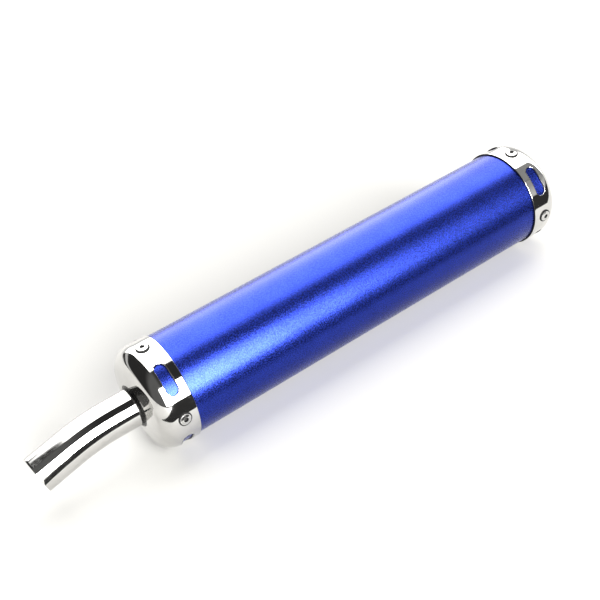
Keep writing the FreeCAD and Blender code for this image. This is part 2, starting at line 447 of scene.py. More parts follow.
def ring_of(tree, piece, count, turn):
    """piece repeated count times round the X axis, from turn on."""
    points = tree.node("GeometryNodePoints", {"Count": count}).outputs[0]
    index = tree.node("GeometryNodeInputIndex").outputs[0]
    angle = tree.total(turn, tree.math("DIVIDE", tree.product(index, math.tau), count))
    ring = tree.node(
        "GeometryNodeInstanceOnPoints",
        {"Points": points, "Instance": piece, "Rotation": tree.point(angle, 0.0, 0.0)},
    ).outputs[0]
    return tree.node("GeometryNodeRealizeInstances", {"Geometry": ring}).outputs[0]


def punched_wall_tree():
    """Cuts a ring of like openings through a wall."""
    tree = GeometryTree("Punched wall", Punch="Object", Count="Int", Turn="Float")
    given = tree.given
    punch = tree.node("GeometryNodeObjectInfo", {"Object": given["Punch"]}).outputs["Geometry"]
    cut = tree.node(
        "GeometryNodeMeshBoolean",
        {"Mesh 1": given["Geometry"], "Mesh 2": ring_of(tree, punch, given["Count"], given["Turn"])},
        operation="DIFFERENCE", solver="EXACT",
    ).outputs[0]
    return tree.finish(cut)


def rivet_ring_tree():
    """Stands a piece that was turned about X on the band, saddles its foot and repeats it round the can."""
    tree = GeometryTree(
        "Rivet ring", Count="Int", Turn="Float", Ring="Float", Seat_Radius="Float", Lip="Float"
    )
    given = tree.given
    seat = given["Seat Radius"]
    height, across, level = tree.split(tree.node("GeometryNodeInputPosition").outputs[0])
    rise_squared = tree.math("SUBTRACT", tree.product(seat, seat), tree.product(across, across))
    drop = tree.math("SUBTRACT", seat, tree.math("SQRT", rise_squared))
    fade = tree.ramp(height, 0.0, given["Lip"], 1.0, 0.0)
    seated = tree.math("SUBTRACT", height, tree.product(drop, fade))
    below = tree.product(tree.math("ADD", seated, seat), -1.0)
    piece = tree.moved(given["Geometry"], tree.point(tree.math("ADD", given["Ring"], level), across, below))
    return tree.finish(ring_of(tree, piece, given["Count"], given["Turn"]))


def rolled_mat_tree():
    """Rolls a mat, given as its outline of (along, half thickness, end weight) points, round the core."""
    tree = GeometryTree(
        "Rolled mat", Steps="Int", Turns="Float", Inside_Radius="Float", Pitch="Float", Lump="Float",
        Seed="Float",
    )
    given = tree.given
    grid, outline, column = tree.grid(given["Geometry"], given["Steps"])
    done = tree.math("DIVIDE", column, given["Steps"])
    turns = tree.product(done, given["Turns"])
    angle = tree.product(turns, math.tau)
    taper = tree.product(tree.ramp(done, 0.0, 0.02), tree.ramp(done, 0.97, 1.0, 1.0, 0.0))
    middle = tree.total(given["Inside Radius"], tree.product(given["Pitch"], turns))
    sine, cosine = tree.math("SINE", angle), tree.math("COSINE", angle)
    place = tree.point(outline[0], tree.product(middle, sine), tree.product(middle, cosine))

    def lumps(scale, shift):
        noise = tree.node(
            "ShaderNodeTexNoise",
            {"Vector": place, "W": tree.math("ADD", given["Seed"], shift), "Scale": scale, "Detail": 3.0},
            noise_dimensions="4D",
        ).outputs[0]
        return tree.math("SUBTRACT", noise, 0.5)

    half_thickness = tree.product(outline[1], taper)
    radius = tree.total(middle, half_thickness, tree.product(lumps(170.0, 0.0), given["Lump"], taper))
    torn = tree.product(lumps(240.0, 5.0), given["Lump"], outline[2], 6.0)
    outward = tree.math("SIGN", outline[0])
    along = tree.math("SUBTRACT", outline[0], tree.product(outward, tree.math("ABSOLUTE", torn)))
    mat = tree.moved(grid, tree.point(along, tree.product(radius, sine), tree.product(radius, cosine)))
    return tree.finish(tree.merged(mat))


# Meshes

def linked(name, mesh):
    piece = bpy.data.objects.new(name, mesh)
    bpy.context.scene.collection.objects.link(piece)
    return piece


def outline_mesh(name, points):
    """Open or closed outline of (along, radius) or (along, radius, weight) points."""
    mesh = bpy.data.meshes.new(name)
    corners = [(point + (0.0,))[:3] for point in points]
    mesh.from_pydata(corners, [(at, at + 1) for at in range(len(corners) - 1)], [])
    return mesh


def bake_down(piece):
    """Turns the piece's evaluated shape into its own mesh and clears its modifiers."""
    depsgraph = bpy.context.evaluated_depsgraph_get()
    mesh = bpy.data.meshes.new_from_object(
        piece.evaluated_get(depsgraph), preserve_all_data_layers=True, depsgraph=depsgraph
    )
    piece.modifiers.clear()
    piece.data = mesh
    if not mesh.polygons:
        raise RuntimeError(f"{piece.name} came out with no faces")
    return piece


def run_tree(piece, tree, material, **values):
    """Runs the tree on the piece, with its inputs set by name, and keeps the result as a plain mesh."""
    modifier = piece.modifiers.new(tree.name, "NODES")
    modifier.node_group = tree
    values = {label.replace("_", " "): value for label, value in values.items()}
    values["Material"] = material
    for item in tree.interface.items_tree:
        if item.item_type == "SOCKET" and item.in_out == "INPUT" and item.name in values:
            modifier[item.identifier] = values.pop(item.name)
    if values:
        raise KeyError(f"{tree.name} has no input {sorted(values)}")
    return bake_down(piece)


def closed_skin(piece, crease=35.0):
    """Merges the seams, points the faces outwards and leaves only real edges sharp."""
    shell = bmesh.new()
    shell.from_mesh(piece.data)
    bmesh.ops.remove_doubles(shell, verts=shell.verts, dist=MERGE_DISTANCE)
    bmesh.ops.dissolve_degenerate(shell, edges=shell.edges, dist=MERGE_DISTANCE)
    bmesh.ops.recalc_face_normals(shell, faces=shell.faces)
    if shell.calc_volume(signed=True) < 0:
        bmesh.ops.reverse_faces(shell, faces=shell.faces)
    for face in shell.faces:
        face.smooth = True
    open_edges = sum(not edge.is_manifold for edge in shell.edges)
    shell.to_mesh(piece.data)
    shell.free()
    if open_edges:
        print(f"{piece.name}: {open_edges} open edges")
    piece.data.set_sharp_from_angle(angle=math.radians(crease))
    return piece


def even_shading(piece):
    """Weights the normals by face area, so that wide faces keep their own shading beside narrow edges."""
    modifier = piece.modifiers.new("Even shading", "WEIGHTED_NORMAL")
    modifier.keep_sharp = True
    modifier.weight = 100
    return bake_down(piece)


def stands_for(piece, slot, *nodes):
    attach(piece, BODY)
    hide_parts(*nodes)
    return piece


def sweep(centre, radius, start, end, steps):
    """Points of an arc about centre, from start to end degrees, measured from the along direction."""
    angles = [math.radians(start + (end - start) * step / steps) for step in range(steps + 1)]
    return [(centre[0] + radius * math.cos(angle), centre[1] + radius * math.sin(angle)) for angle in angles]


def rows(start, end, spacing):
    """Evenly spaced places between start and end, both left out."""
    count = max(2, round(abs(end - start) / spacing))
    return [start + (end - start) * step / count for step in range(1, count)]


def tube_outline(outer, inner, start, end, spacing, edge):
    """Closed outline of a tube's wall with rounded ends."""
    between = rows(start + edge, end - edge, spacing)
    points = sweep((start + edge, outer - edge), edge, 180, 90, 5)
    points += [(place, outer) for place in between]
    points += sweep((end - edge, outer - edge), edge, 90, 0, 5)
    points += sweep((end - edge, inner + edge), edge, 0, -90, 5)
    points += [(place, inner) for place in reversed(between)]
    points += sweep((start + edge, inner + edge), edge, -90, -180, 5)
    return points + points[:1]


def turned(
    name, outline, material, segments, side=1.0, straight=1.0, bend_radius=1.0, bend_angle=0.0,
    depth=0.0, ripples=1,
):
    """Piece turned from its outline, on a centre line that may bend, with ripples where it has weight."""
    piece = linked(name, outline_mesh(name, outline))
    run_tree(
        piece, TREES["turned wall"], material, Segments=segments, Straight=straight, Bend_Radius=bend_radius,
        Bend_Angle=bend_angle, Side=side, Ripple_Depth=depth, Ripple_Count=ripples,
    )
    return closed_skin(piece)


def punch(piece, cutter, material, count, turn):
    return run_tree(piece, TREES["punched wall"], material, Punch=cutter, Count=count, Turn=turn)


def throw_away(piece):
    mesh = piece.data
    bpy.data.objects.remove(piece)
    bpy.data.meshes.remove(mesh)


def lofted_cutter(name, rings):
    """Closed cutter through rings of points that all have the same count."""
    mesh = bpy.data.meshes.new(name)
    around = len(rings[0])
    faces = []
    for level in range(len(rings) - 1):
        near, far = level * around, (level + 1) * around
        for at in range(around):
            after = (at + 1) % around
            faces.append((near + at, near + after, far + after, far + at))
    faces.append(tuple(range(around)))
    faces.append(tuple((len(rings) - 1) * around + at for at in range(around)))
    mesh.from_pydata([point for ring in rings for point in ring], [], faces)
    return closed_skin(linked(name, mesh))


def slot_cutter(cap, x):
    """Cutter of one slot below the axis, flared at the band's surface to leave a rounded edge."""
    side = cap.slot_width / 2
    half = cap.slot_length / 2 - side
    end_steps, row_spacing = 20, mm(0.7)
    edge = mm(0.28)
    inset = edge * 0.66
    through = mm(1.6)
    flare_depth, flare = -mm(0.02), mm(0.11)
    clear_below, clear_above = mm(3.6), mm(1.5)
    stadium = []
    for end, start_angle in ((1, 0), (-1, 180)):
        for step in range(end_steps + 1):
            angle = math.radians(start_angle + 180 * step / end_steps)
            nx, ny = math.cos(angle), math.sin(angle)
            stadium.append((nx, ny, side * nx, end * half + side * ny))
        for place in rows(end * half, -end * half, row_spacing):
            stadium.append((-end, 0.0, -end * side, place))
    levels = [(through, -inset)]
    for angle in map(math.radians, range(0, 71, 14)):
        levels.append((edge * (1 - math.sin(angle)), edge * (1 - math.cos(angle)) - inset))
    levels.append((flare_depth, flare))
    rings = []
    for depth, offset in levels:
        ring = []
        for nx, ny, px, py in stadium:
            across = py + ny * offset
            ring.append((x + px + nx * offset, across, -(math.sqrt(cap.radius ** 2 - across ** 2) - depth)))
        rings.append(ring)
    below, above = cap.radius - clear_below, cap.radius + clear_above
    rings.insert(0, [(along, across, -below) for along, across, level in rings[0]])
    rings.append([(along, across, -above) for along, across, level in rings[-1]])
    return lofted_cutter("Slot cutter", rings)


def drill(x, radius, inner, outer):
    """Round cutter below the axis."""
    angles = [math.tau * at / DRILL_SIDES for at in range(DRILL_SIDES)]
    rings = [
        [(x + radius * math.cos(angle), radius * math.sin(angle), -level) for angle in angles]
        for level in (inner, outer)
    ]
    return lofted_cutter("Drill", rings)


def rivet_drill(rivet, end, radius, depth):
    """Cutter of one rivet hole through a wall of that outside radius."""
    return drill(SIDE[end] * rivet.ring, rivet.hole, radius - depth, radius + DRILL_MARGIN)


# Geometry node trees by name, made once in main
TREES = {}


# Finishes

def new_finish(name, colour, roughness, metallic=1.0, **sockets):
    material = bpy.data.materials.new(name)
    material.use_nodes = True
    wiring = Wiring(material.node_tree)
    shader = next(node for node in material.node_tree.nodes if node.type == "BSDF_PRINCIPLED")
    shader.inputs["Base Color"].default_value = (*colour, 1.0)
    shader.inputs["Roughness"].default_value = roughness
    shader.inputs["Metallic"].default_value = metallic
    for label, value in sockets.items():
        shader.inputs[label.replace("_", " ")].default_value = value
    return material, wiring, shader.inputs


def object_place(wiring, stretch=(1.0, 1.0, 1.0)):
    place = wiring.node("ShaderNodeTexCoord").outputs["Object"]
    return wiring.node("ShaderNodeMapping", {"Vector": place, "Scale": stretch}).outputs[0]


def wall_place(wiring, stretch=(1.0, 1.0, 1.0)):
    """Place on a turned wall before its centre line was bent."""
    place = wiring.node("ShaderNodeAttribute", attribute_name=WALL_PLACE).outputs["Vector"]
    return wiring.node("ShaderNodeMapping", {"Vector": place, "Scale": stretch}).outputs[0]


def noise(wiring, place, scale, detail=2.0, roughness=0.5):
    return wiring.node(
        "ShaderNodeTexNoise", {"Vector": place, "Scale": scale, "Detail": detail, "Roughness": roughness}
    ).outputs[0]


def mixed(wiring, factor, first, second):
    """Colour between two, each given as a colour or as a socket."""
    node = wiring.node("ShaderNodeMix", {"Factor": factor}, data_type="RGBA")
    for socket, colour in ((node.inputs[6], first), (node.inputs[7], second)):
        wiring.feed(socket, colour if isinstance(colour, bpy.types.NodeSocket) else (*colour, 1.0))
    return node.outputs[2]


def bump(wiring, height, distance, strength=1.0):
    return wiring.node(
        "ShaderNodeBump", {"Height": height, "Distance": distance, "Strength": strength}
    ).outputs[0]


def shaded(colour, share):
    return tuple(part * share for part in colour)


def anodised_finish(can):
    """Blue dye over bead-blasted aluminium: sealed, satin and finely pitted."""
    material, wiring, sockets = new_finish("Blue anodised aluminium", can.colour, 0.26)
    place = object_place(wiring)
    grain = noise(wiring, place, 1.0 / can.grain, 3.0, 0.65)
    pits = noise(wiring, place, 2.6 / can.grain, 2.0, 0.5)
    clouds = noise(wiring, place, 60.0, 2.0, 0.5)
    tone = wiring.total(wiring.product(grain, 0.8), wiring.product(clouds, 0.2))
    # Painted shade: darker blue where the grain is lower, mixed with random clouding
    low_tone_and_pit_shade = wiring.ramp(tone, 0.38, 0.62, 1.0, 0.0)
    wiring.feed(sockets["Base Color"], mixed(wiring, low_tone_and_pit_shade, can.colour, can.tone_and_pit_shade))
    wiring.feed(sockets["Roughness"], wiring.ramp(grain, 0.3, 0.7, 0.23, 0.30))
    relief = wiring.total(grain, wiring.product(pits, 0.5))
    wiring.feed(sockets["Normal"], bump(wiring, relief, mm(0.055)))
    return material


def chrome_finish(name, colour, place_of, stretch, cut_edge=None):
    """Bright plate with polishing lines, handling haze and slow waviness, painted dark as shade up to the
    cut edge.
    """
    material, wiring, sockets = new_finish(name, colour, 0.06)
    lines = noise(wiring, place_of(wiring, stretch), 900.0, 2.0, 0.6)
    haze = noise(wiring, place_of(wiring), 140.0, 4.0, 0.6)
    waves = noise(wiring, place_of(wiring), 70.0, 1.0, 0.4)
    plate = mixed(wiring, wiring.ramp(haze, 0.35, 0.75), colour, shaded(colour, 0.92))
    hazy = wiring.ramp(haze, 0.4, 0.8, 0.035, 0.10)
    roughness = wiring.total(hazy, wiring.ramp(lines, 0.55, 0.75, 0.0, 0.05))
    if cut_edge is not None:
        # Painted shade: the open edge short of cut_edge is dark
        along = wiring.split(place_of(wiring))[0]
        soft = mm(0.05)
        edge_shade = wiring.ramp(along, cut_edge - soft, cut_edge + soft, 1.0, 0.0)
        plate = mixed(wiring, edge_shade, plate, EDGE_SHADE_DARK)
        roughness = wiring.total(roughness, wiring.product(edge_shade, 0.35))
    wiring.feed(sockets["Base Color"], plate)
    wiring.feed(sockets["Roughness"], roughness)
    fine = bump(wiring, lines, mm(0.0015), 0.6)
    slow = wiring.node(
        "ShaderNodeBump", {"Height": waves, "Distance": mm(0.06), "Strength": 0.5, "Normal": fine}
    ).outputs[0]
    wiring.feed(sockets["Normal"], slow)
    return material


def weld_finish(colour):
    """Weld painted near black: its heat tint, darkened further as painted shade in the corner between pipe
    and cap, with a fine crust over its ripples.
    """
    material, wiring, sockets = new_finish("Heat-tinted weld with painted shade", shaded(colour, 0.05), 0.3)
    crust = noise(wiring, object_place(wiring), 900.0, 4.0, 0.6)
    wiring.feed(sockets["Roughness"], wiring.ramp(crust, 0.3, 0.7, 0.22, 0.4))
    wiring.feed(sockets["Base Color"], mixed(wiring, crust, shaded(colour, 0.07), shaded(colour, 0.025)))
    wiring.feed(sockets["Normal"], bump(wiring, crust, mm(0.03), 0.5))
    return material


def rivet_finish(colour, bore, rim):
    """Polished rivet steel with small handling marks, painted dark as shade in the bore and round the foot
    of the rim.
    """
    material, wiring, sockets = new_finish("Rivet steel", colour, 0.14, Specular_IOR_Level=0.0)
    marks = noise(wiring, object_place(wiring, (1.0, 0.4, 1.0)), 1500.0, 3.0, 0.6)
    height, across, level = wiring.split(wall_place(wiring))
    from_axis = wiring.math(
        "SQRT", wiring.total(wiring.product(across, across), wiring.product(level, level))
    )
    # Painted shade: dark in the bore and round the foot of the head's rim
    inside = wiring.ramp(from_axis, bore + mm(0.3), bore + mm(0.45), 1.0, 0.0)
    painted_shade = wiring.math("MAXIMUM", inside, wiring.ramp(height, rim * 1.9, rim * 2.3, 1.0, 0.0))
    steel = mixed(wiring, marks, colour, shaded(colour, 0.86))
    steel = mixed(wiring, painted_shade, steel, SHADE_BLACK)
    wiring.feed(sockets["Metallic"], wiring.math("SUBTRACT", 1.0, painted_shade))
    worn = wiring.ramp(marks, 0.35, 0.7, 0.07, 0.18)
    wiring.feed(sockets["Roughness"], wiring.total(worn, wiring.product(painted_shade, 0.4)))
    wiring.feed(sockets["Base Color"], steel)
    wiring.feed(sockets["Normal"], bump(wiring, marks, mm(0.01), 0.5))
    return material


def mandrel_finish():
    """Torn, unplated stem, painted near black as the shade inside the rivet's bore."""
    material, wiring, sockets = new_finish(
        "Torn mandrel", (0.02, 0.019, 0.018), 0.6, 0.0, Specular_IOR_Level=0.1
    )
    grain = noise(wiring, object_place(wiring), 3000.0, 4.0, 0.7)
    wiring.feed(sockets["Base Color"], mixed(wiring, grain, (0.022, 0.021, 0.02), (0.004, 0.004, 0.0035)))
    wiring.feed(sockets["Roughness"], wiring.ramp(grain, 0.3, 0.7, 0.4, 0.75))
    wiring.feed(sockets["Normal"], bump(wiring, grain, mm(0.12), 0.9))
    return material


def core_finish():
    """Bare perforated steel with rolling lines and a little heat straw."""
    material, wiring, sockets = new_finish("Bare core steel", (0.46, 0.44, 0.41), 0.35)
    rolling = noise(wiring, object_place(wiring, (0.08, 1.0, 1.0)), 1300.0, 3.0, 0.6)
    heat = noise(wiring, object_place(wiring), 28.0, 3.0, 0.5)
    straw_share = wiring.ramp(heat, 0.4, 0.7)
    wiring.feed(sockets["Base Color"], mixed(wiring, straw_share, (0.47, 0.45, 0.42), (0.42, 0.33, 0.22)))
    wiring.feed(sockets["Roughness"], wiring.ramp(rolling, 0.3, 0.7, 0.26, 0.46))
    wiring.feed(sockets["Normal"], bump(wiring, rolling, mm(0.02), 0.6))
    return material


def wool_finish(colour):
    """Needled glass fibre: matt, with long crossed strands."""
    material, wiring, sockets = new_finish(
        "Glass wool", colour, 0.9, 0.0, Sheen_Weight=0.4, Sheen_Roughness=0.6
    )
    strands = noise(wiring, object_place(wiring, (0.15, 1.0, 1.0)), 1600.0, 5.0, 0.7)
    crossed = noise(wiring, object_place(wiring, (1.0, 0.3, 0.3)), 1400.0, 5.0, 0.7)
    fibre = wiring.math("MAXIMUM", strands, crossed)
    # Painted shade: lower fibre is darker, while raised strands keep the wool's colour
    raised = wiring.ramp(fibre, 0.42, 0.68)
    wiring.feed(sockets["Base Color"], mixed(wiring, raised, shaded(colour, 0.55), colour))
    wiring.feed(sockets["Normal"], bump(wiring, fibre, mm(0.35), 0.9))
    return material


def floor_finish(colour):
    """Pale matt studio board."""
    material, wiring, sockets = new_finish("Pale board", colour, 0.8, 0.0)
    tooth = noise(wiring, object_place(wiring), 900.0, 3.0, 0.6)
    wiring.feed(sockets["Base Color"], mixed(wiring, tooth, colour, shaded(colour, 0.985)))
    wiring.feed(sockets["Normal"], bump(wiring, tooth, mm(0.02), 0.2))
    return material


def matt_black():
    return new_finish("Matt black card", (0.01, 0.01, 0.01), 0.9, 0.0, Specular_IOR_Level=0.0)[0]


# Stage

def studio_light():
    """Softboxes that run along the can: one wide overhead and behind, one strip in front, dark between."""
    world = bpy.data.worlds.new("Studio")
    bpy.context.scene.world = world
    world.use_nodes = True
    world.node_tree.nodes.clear()
    wiring = Wiring(world.node_tree)
    direction = wiring.node("ShaderNodeTexCoord").outputs["Generated"]
    x, y, z = wiring.split(direction)
    # Degrees round the can's axis, from +Y over +Z; x is how far a direction leans along the can
    angle = wiring.math("DEGREES", wiring.math("ARCTAN2", z, y))

    def band(start, end, soft):
        return wiring.math(
            "MULTIPLY",
            wiring.ramp(angle, start - soft, start + soft),
            wiring.ramp(angle, end - soft, end + soft, 1.0, 0.0),
        )

    behind = wiring.math("ADD", angle, wiring.ramp(x, -0.4, -0.85, 0.0, 14.0))
    far_left = wiring.ramp(x, -0.12, -0.22)
    backdrop = wiring.product(band(-40.0, 14.0, 2.0), wiring.ramp(x, -0.12, -0.22, 0.9, 0.0))
    gap_edge = wiring.product(wiring.ramp(behind, 5.0, 3.0), far_left, 0.9)
    glow = wiring.product(wiring.ramp(behind, 11.0, 14.0), wiring.ramp(behind, 25.0, 20.0), far_left, 0.7)
    brown = wiring.product(wiring.ramp(y, 0.05, -0.3), wiring.ramp(x, 0.1, -0.3), 0.12)
    past_left = wiring.math("SUBTRACT", x, wiring.ramp(angle, 35.0, 60.0, -0.155, -0.215))
    left_edge = wiring.ramp(past_left, -0.025, 0.025)
    right_edge = wiring.math(
        "MAXIMUM", wiring.ramp(x, 0.57, 0.64, 1.0, 0.12), wiring.ramp(angle, 35.0, 60.0)
    )
    overhead = wiring.product(band(12.0, 97.0, 3.0), left_edge, right_edge, 6.6)
    strip = wiring.product(
        band(138.0, 176.0, 1.5), wiring.ramp(x, -0.5, -0.25), wiring.ramp(x, 0.18, 0.36, 52.0, 0.6),
        wiring.ramp(angle, 138.0, 172.0, 0.6, 1.2),
    )
    fill = wiring.product(band(97.0, 138.0, 6.0), wiring.ramp(x, 0.35, 0.6), 0.35)
    level = wiring.total(0.035, backdrop, gap_edge, glow, brown, overhead, strip, fill)
    seen = wiring.node("ShaderNodeLightPath").outputs["Is Camera Ray"]
    lamp = wiring.node(
        "ShaderNodeBackground", {"Color": (1.0, 0.995, 0.985, 1.0), "Strength": level}
    ).outputs[0]
    pale = wiring.node("ShaderNodeBackground", {"Color": (1.0, 1.0, 1.0, 1.0), "Strength": 1.0}).outputs[0]
    either = wiring.node("ShaderNodeMixShader", {0: seen, 1: lamp, 2: pale}).outputs[0]
    wiring.feed(wiring.node("ShaderNodeOutputWorld").inputs["Surface"], either)


def flat_sheet(name, corners, z, material):
    mesh = bpy.data.meshes.new(name)
    mesh.from_pydata([(x, y, z) for x, y in corners], [], [tuple(range(len(corners)))])
    mesh.materials.append(material)
    sheet = linked(name, mesh)
    return sheet


def camera_in_place(stage):
    camera = bpy.data.objects.new("Camera", bpy.data.cameras.new("Camera"))
    bpy.context.scene.collection.objects.link(camera)
    back = Vector((
        math.sin(stage.azimuth) * math.cos(stage.elevation),
        -math.cos(stage.azimuth) * math.cos(stage.elevation),
        math.sin(stage.elevation),
    ))
    camera.location = Vector(stage.target) + back * stage.distance
    camera.rotation_mode = "QUATERNION"
    camera.rotation_quaternion = (-back).to_track_quat("-Z", "Y") @ Quaternion((0.0, 0.0, 1.0), -stage.roll)
    camera.data.lens = stage.lens
    camera.data.sensor_width = 36.0
    camera.data.clip_start, camera.data.clip_end = 0.01, 100.0
    bpy.context.scene.camera = camera


# Operators

class SILENCER_OT_stage(bpy.types.Operator):
    """Sets up the camera, the studio light, the pale floor and the black card in front"""

    bl_idname = "silencer.stage"
    bl_label = "Stage"

    def execute(self, context):
        stage = context.scene.silencer.stage
        camera_in_place(stage)
        studio_light()
        context.scene.view_settings.view_transform = "Standard"
        ground = CAD_BOX[0].z - mm(0.05)
        reach = 6.0
        square = [(-reach, -reach), (reach, -reach), (reach, reach), (-reach, reach)]
        flat_sheet("Floor", square, ground, floor_finish(stage.floor_colour))
        # The card's near edge steps in towards the mouth of the inlet pipe
        card_outline = [
            (-0.21, -reach), (reach, -reach), (reach, -0.092), (-0.135, -0.092), (-0.19, -0.06),
            (-0.21, -0.035),
        ]
        card = flat_sheet("Black_card", card_outline, ground + mm(0.5), matt_black())
        for ray in ("camera", "diffuse", "shadow", "transmission"):
            setattr(card, "visible_" + ray, False)
        return {"FINISHED"}


class SILENCER_OT_can(bpy.types.Operator):
    """Makes the blue anodised can with its rivet holes"""

    bl_idname = "silencer.can"
    bl_label = "Can"

    def execute(self, context):
        settings = context.scene.silencer
        can, rivet = settings.can, settings.rivet
        blue = anodised_finish(can)
        outline = tube_outline(
            can.radius, can.radius - can.wall, -can.half_length, can.half_length, mm(5.0), mm(0.1)
        )
        tube = turned("Can", outline, blue, CAN_SIDES)
        for end in ENDS:
            cutter = rivet_drill(rivet, end, can.radius, CAN_DRILL_DEPTH)
            punch(tube, cutter, blue, rivet.count, 0.0 if end == "inlet" else settings.cap.turn)
            throw_away(cutter)
        even_shading(closed_skin(tube))
        stands_for(tube, "anodised_blue", "outer_can")
        return {"FINISHED"}


def cap_outline(cap, hole):
    """Outline of the cap's wall: open edge, band, shoulder, slightly domed face and pipe hole."""
    slope = math.degrees(cap.face_slope)
    crown = cap.knuckle + (cap.radius - cap.knuckle) / math.sin(cap.face_slope)
    centre = (cap.edge + cap.band - (crown - cap.knuckle) * math.cos(cap.face_slope), 0.0)
    knuckle_centre = (cap.edge + cap.band, cap.radius - cap.knuckle)
    edge = mm(0.25)
    outer_end = math.degrees(math.asin(hole / crown))
    inner_end = math.degrees(math.asin(hole / (crown - cap.sheet)))
    outer_rows = rows(cap.edge + edge, knuckle_centre[0], mm(0.7))
    points = sweep((cap.edge + edge, cap.radius - edge), edge, 180, 90, 6)
    points += [(place, cap.radius) for place in outer_rows]
    points += sweep(knuckle_centre, cap.knuckle, 90, slope, 44)
    points += sweep(centre, crown, slope, outer_end, 16)[1:]
    points += sweep(centre, crown - cap.sheet, inner_end, slope, 16)
    points += sweep(knuckle_centre, cap.knuckle - cap.sheet, slope, 90, 24)[1:]
    inner_rows = rows(cap.edge, knuckle_centre[0], mm(0.9))
    points += [(place, cap.radius - cap.sheet) for place in reversed(inner_rows)]
    points += [(cap.edge, cap.radius - cap.sheet)]
    return points + points[:1]


class SILENCER_OT_end_caps(bpy.types.Operator):
    """Makes the two chromed end caps, with their slots and rivet holes"""

    bl_idname = "silencer.end_caps"
    bl_label = "End caps"

    def execute(self, context):
        settings = context.scene.silencer
        cap, pipe, rivet = settings.cap, settings.pipe, settings.rivet
        chrome = chrome_finish("Cap chrome", cap.colour, wall_place, (0.15, 1.0, 1.0), cap.edge + mm(0.16))
        outline = cap_outline(cap, pipe.radius + mm(0.05))
        for end in ENDS:
            piece = turned(end.capitalize() + "_cap", outline, chrome, CAP_SIDES, SIDE[end])
            turn = 0.0 if end == "inlet" else cap.turn
            cutters = (
                (slot_cutter(cap, SIDE[end] * rivet.ring), cap.slots, turn + math.pi / cap.slots),
                (rivet_drill(rivet, end, cap.radius, CAP_DRILL_DEPTH), rivet.count, turn),
            )
            for cutter, count, start in cutters:
                punch(piece, cutter, chrome, count, start)
                throw_away(cutter)
            even_shading(closed_skin(piece, 32.0))
            stands_for(piece, "chrome_plate", end + "_cap")
        return {"FINISHED"}


class SILENCER_OT_pipes(bpy.types.Operator):
    """Makes the bent inlet pipe and the outlet stub"""

    bl_idname = "silencer.pipes"
    bl_label = "Pipes"

    def execute(self, context):
        settings = context.scene.silencer
        pipe = settings.pipe
        chrome = chrome_finish("Pipe chrome", settings.cap.colour, wall_place, (0.04, 1.0, 1.0))
        edge = mm(0.18)
        mouth = MOUNTS["inlet_bore"]["pos_m"]
        bend_run = pipe.bend_radius * math.sin(pipe.bend_angle)
        straight = -mouth[0] - bend_run - pipe.end_length * math.cos(pipe.bend_angle)
        end = straight + pipe.bend_radius * pipe.bend_angle + pipe.end_length
        outline = tube_outline(pipe.radius, pipe.bore, pipe.inner_end, end, mm(1.0), edge)
        inlet = turned(
            "Inlet_pipe", outline, chrome, PIPE_SIDES, SIDE["inlet"], straight, pipe.bend_radius,
            pipe.bend_angle,
        )
        stands_for(inlet, "pipe_chrome", "inlet_pipe")
        stub = tube_outline(pipe.radius, pipe.bore, pipe.inner_end, pipe.outlet_mouth, mm(2.0), edge)
        outlet = turned("Outlet_pipe", stub, chrome, PIPE_SIDES)
        stands_for(outlet, "pipe_chrome", "outlet_pipe")
        return {"FINISHED"}


def weld_outline(weld_node, pipe_radius, leg):
    """Hollow fillet in the corner; the third value lets the ripples fade out at its toes."""
    foot, top = low(weld_node).x, high(weld_node).x
    steps = 18
    arc = sweep((top, pipe_radius + leg), leg, -90, -180, steps)
    arc[-1] = (foot, pipe_radius + leg)
    points = [(along, radius, math.sin(math.pi * at / steps)) for at, (along, radius) in enumerate(arc)]
    corner = top - leg
    for part in (0.25, 0.5, 0.75, 1.0):
        points.append((foot + (corner - foot) * part, pipe_radius + leg * (1 - part), 0.0))
    points += [(corner + leg * part, pipe_radius, 0.0) for part in (0.33, 0.66)]
    return points + points[:1]


class SILENCER_OT_welds(bpy.types.Operator):
    """Makes the two weld fillets between pipe and cap"""

    bl_idname = "silencer.welds"
    bl_label = "Welds"

    def execute(self, context):
        pipe = context.scene.silencer.pipe
        # Near black weld: heat tint and painted shade in the corner between pipe and cap
        tinted_and_shaded = weld_finish(context.scene.silencer.cap.colour)
        outline = weld_outline("outlet_weld", pipe.radius, pipe.weld_leg)
        for end in ENDS:
            bead = turned(
                end.capitalize() + "_weld", outline, tinted_and_shaded, WELD_SIDES, SIDE[end], depth=mm(0.07),
                ripples=pipe.ripples,
            )
            stands_for(bead, "burnt_weld", end + "_weld")
        return {"FINISHED"}


def rivet_outline(rivet, wall):
    """(height above the band, radius) round a blind rivet: domed head, shank, bulge and bore."""
    bore, shank, bulge = rivet.bore, mm(2.0), mm(2.75)
    foot = -wall - BLIND_LENGTH
    rise = rivet.head_height - rivet.rim
    dome = (rivet.head_radius ** 2 + rise ** 2) / (2 * rise)
    base = rivet.head_height - dome
    edge, shoulder = mm(0.16), mm(0.2)
    shoulder_foot = rivet.head_radius - shoulder
    shoulder_rise = base + math.sqrt(dome ** 2 - shoulder_foot ** 2)
    dome_rows = [shoulder_foot + (bore + edge - shoulder_foot) * step / 10 for step in range(1, 11)]
    underside = mm(-0.01)
    half_way = shank + (rivet.head_radius - shank) * 0.5
    points = [(underside, shank), (underside, half_way), (underside, rivet.head_radius)]
    round_foot = shoulder_rise - shoulder
    points += [
        (round_foot + shoulder * math.sin(angle), shoulder_foot + shoulder * math.cos(angle))
        for angle in (math.radians(9 * step) for step in range(10))
    ]
    points += [(base + math.sqrt(dome ** 2 - radius ** 2), radius) for radius in dome_rows]
    rim = base + math.sqrt(dome ** 2 - bore ** 2) - edge
    points += sweep((rim, bore + edge), edge, 0, -90, 5)[1:]
    points += [(place, bore) for place in rows(rim, foot, mm(1.0))]
    points += [(foot, bore)]
    bulge_round = mm(0.8)
    points += sweep((foot + bulge_round, bulge - bulge_round), bulge_round, 180, 90, 8)
    points += [(-wall, bulge), (-wall, shank)]
    return points + points[:1]


